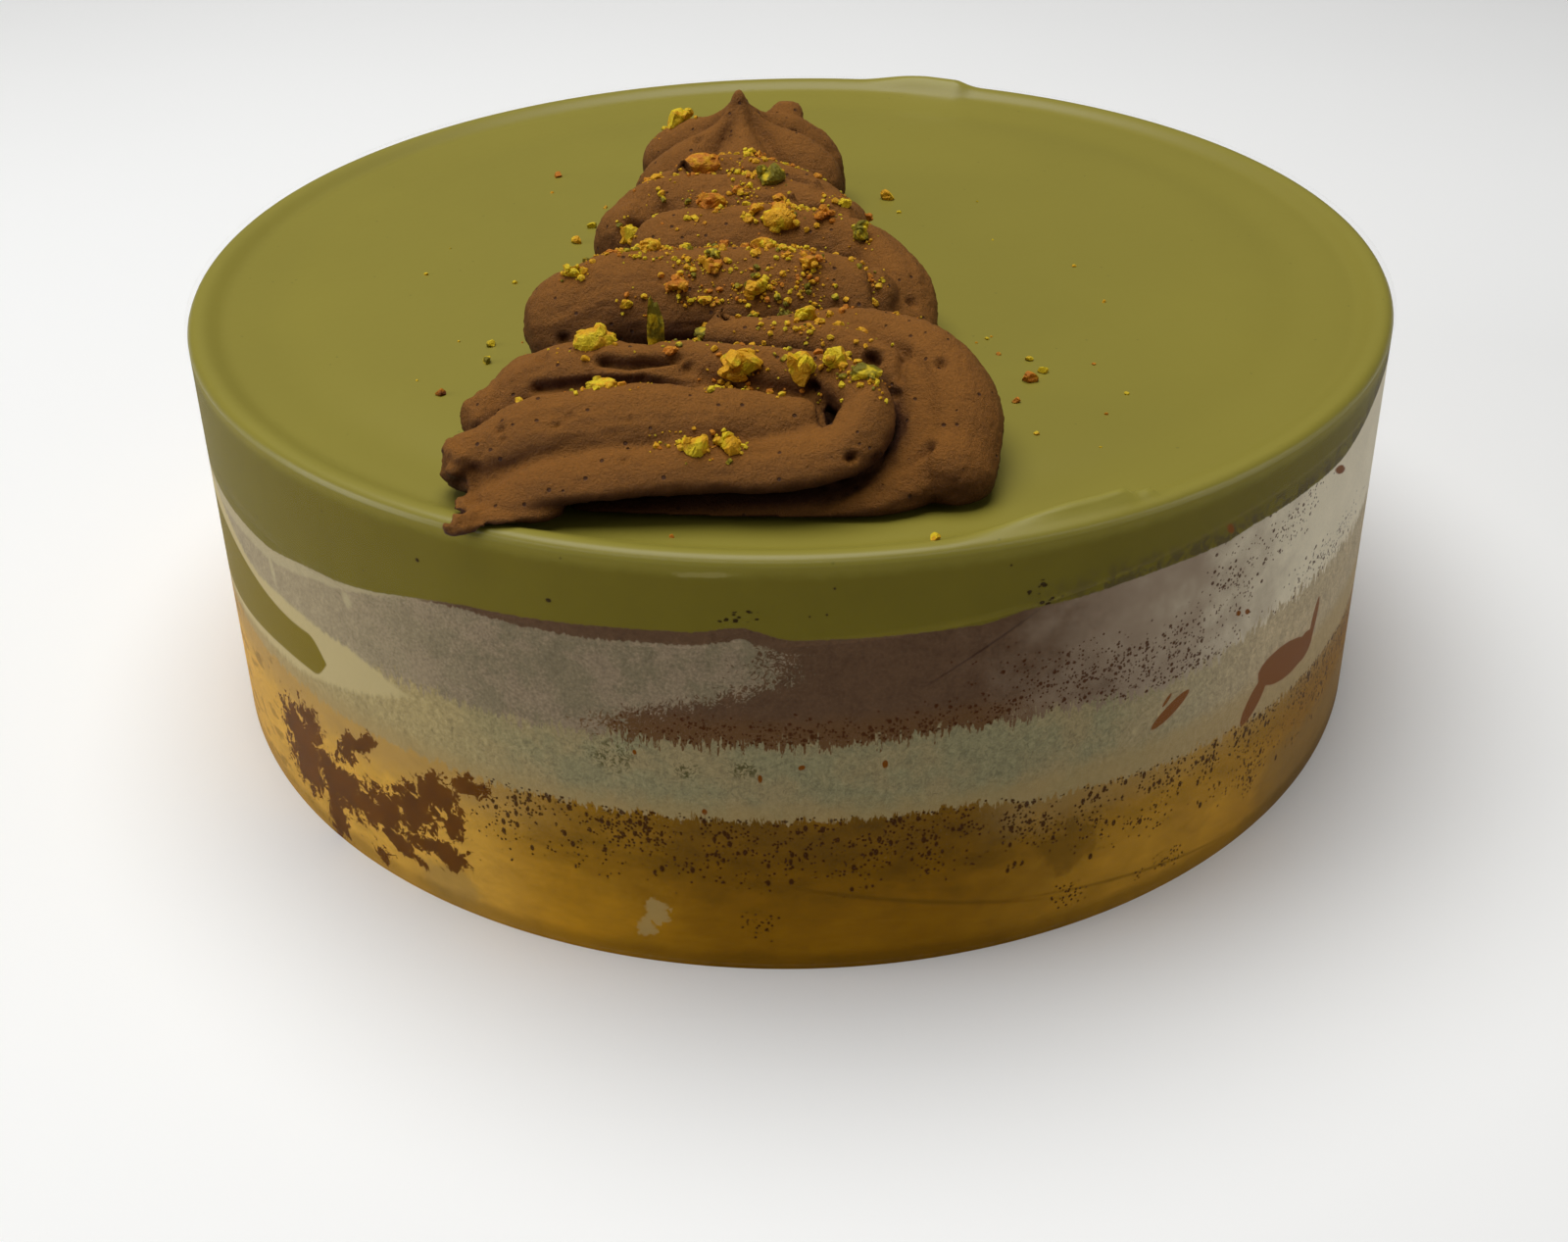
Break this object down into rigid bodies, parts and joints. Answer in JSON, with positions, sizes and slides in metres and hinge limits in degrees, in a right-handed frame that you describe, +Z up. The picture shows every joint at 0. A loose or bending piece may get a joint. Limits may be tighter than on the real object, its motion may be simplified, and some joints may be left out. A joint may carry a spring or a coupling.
{
  "type": "chocolate pistachio cake",
  "caption": "Round layered mousse cake in a clear film collar, with green pistachio glaze and a zigzag of piped chocolate cream topped with chopped nuts.",
  "frame": {"origin": "centre of the cake's round underside, on the surface it rests on", "axes": "+Z up along the cake's axis, -Y towards the end of the piping that meets the rim, +X to the right as seen from there"},
  "size_m": [0.154, 0.154, 0.067],
  "materials": {
    "sponge": "crumbly golden sponge with dark cocoa patches",
    "cream": "smooth pale cream behind film",
    "chocolate_mousse": "airy dark mousse with a pale haze",
    "glaze": "satin pistachio glaze",
    "piped_cream": "matt whipped chocolate cream with air pits",
    "nuts": "chopped pistachios, yellow, orange and green",
    "film": "clear glossy film"
  },
  "bodies": {
    "root": {"sponge_base": "sponge", "cream_layer": "cream", "chocolate_layer": "chocolate_mousse", "pistachio_glaze": "glaze", "chocolate_piping": "piped_cream", "clear_collar": "film"}
  },
  "joints": []
}
